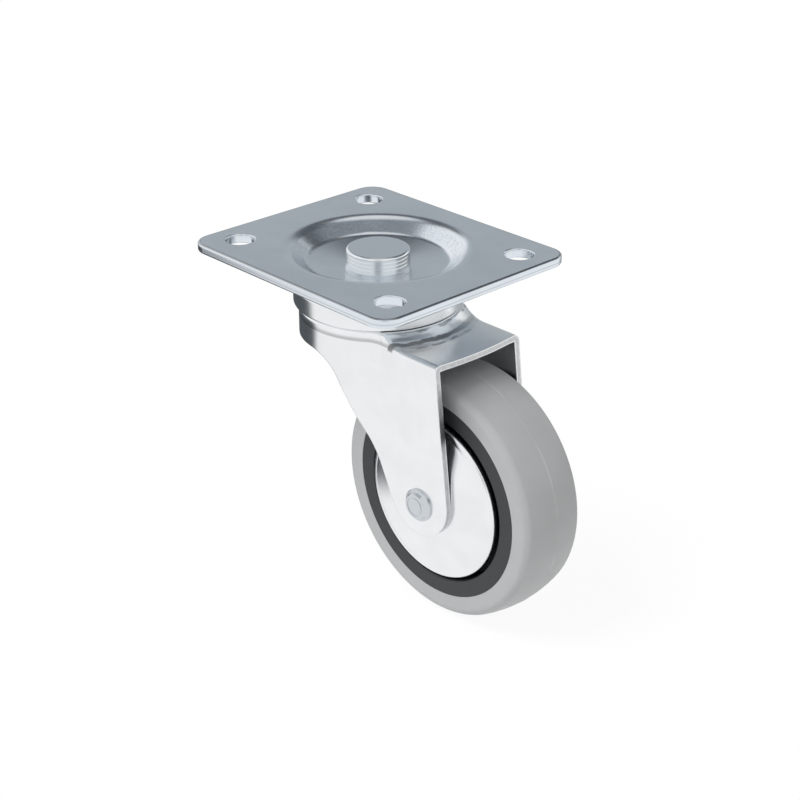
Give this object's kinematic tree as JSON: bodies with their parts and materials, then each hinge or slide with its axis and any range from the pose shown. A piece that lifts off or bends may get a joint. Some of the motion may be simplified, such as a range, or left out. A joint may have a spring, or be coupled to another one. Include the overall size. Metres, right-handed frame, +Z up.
{
  "type": "swivel castor",
  "caption": "Furniture castor: bolted top plate, ball-bearing swivel head, pressed steel fork and a grey-tyred wheel with metal thread guards.",
  "frame": {"origin": "centre of the top plate's upper face, on the swivel axis and in the middle of the four bolt holes", "axes": "+Z up, out of the plate's mounting face; +X along the trail, from the swivel axis towards the wheel; Y along the axle"},
  "size_m": [0.1203, 0.0764, 0.1077],
  "materials": {
    "zinc_plate": "bright zinc plating over pressed sheet",
    "zinc_fork": "bright zinc plating over pressed sheet",
    "zinc_guard": "bright zinc plating, smooth",
    "zinc_turned": "zinc plating over turned steel",
    "bearing_steel": "polished bearing steel",
    "cage_steel": "plain pressed strip",
    "core_plastic": "moulded, fine matt",
    "grey_tyre": "moulded, soft satin"
  },
  "bodies": {
    "plate": {"top_plate": "zinc_plate", "king_pin": "zinc_turned", "upper_race_cup": "zinc_fork", "lower_race_cup": "zinc_fork"},
    "upper_ball_row": {"upper_swivel_balls": "bearing_steel"},
    "lower_ball_row": {"lower_swivel_balls": "bearing_steel"},
    "fork": {"fork": "zinc_fork", "axle_rivet": "zinc_turned", "spacer_tube": "zinc_turned", "left_thread_guard": "zinc_guard", "right_thread_guard": "zinc_guard", "left_inner_ring": "bearing_steel", "right_inner_ring": "bearing_steel"},
    "left_ball_set": {"left_bearing_balls": "bearing_steel", "left_ball_cage": "cage_steel"},
    "right_ball_set": {"right_bearing_balls": "bearing_steel", "right_ball_cage": "cage_steel"},
    "wheel": {"wheel_core": "core_plastic", "tyre": "grey_tyre", "left_outer_ring": "bearing_steel", "right_outer_ring": "bearing_steel", "left_bearing_shields": "cage_steel", "right_bearing_shields": "cage_steel"}
  },
  "joints": [
    {"name": "swivel", "type": "hinge", "parent": "plate", "child": "fork", "pos_m": [0, 0, 0], "axis": [0, 0, 1], "continuous": true},
    {"name": "upper_row_roll", "type": "hinge", "parent": "plate", "child": "upper_ball_row", "pos_m": [0, 0, 0], "axis": [0, 0, 1], "continuous": true},
    {"name": "lower_row_roll", "type": "hinge", "parent": "plate", "child": "lower_ball_row", "pos_m": [0, 0, 0], "axis": [0, 0, 1], "continuous": true},
    {"name": "wheel_spin", "type": "hinge", "parent": "fork", "child": "wheel", "pos_m": [0.0366, 0, -0.0677], "axis": [0, 1, 0], "continuous": true},
    {"name": "left_balls_roll", "type": "hinge", "parent": "fork", "child": "left_ball_set", "pos_m": [0.0366, 0, -0.0677], "axis": [0, 1, 0], "continuous": true},
    {"name": "right_balls_roll", "type": "hinge", "parent": "fork", "child": "right_ball_set", "pos_m": [0.0366, 0, -0.0677], "axis": [0, 1, 0], "continuous": true}
  ],
  "couplings": [
    {"joint": "upper_row_roll", "follows": "swivel", "ratio": 0.5},
    {"joint": "lower_row_roll", "follows": "swivel", "ratio": 0.5},
    {"joint": "left_balls_roll", "follows": "wheel_spin", "ratio": 0.6323},
    {"joint": "right_balls_roll", "follows": "wheel_spin", "ratio": 0.6323}
  ]
}
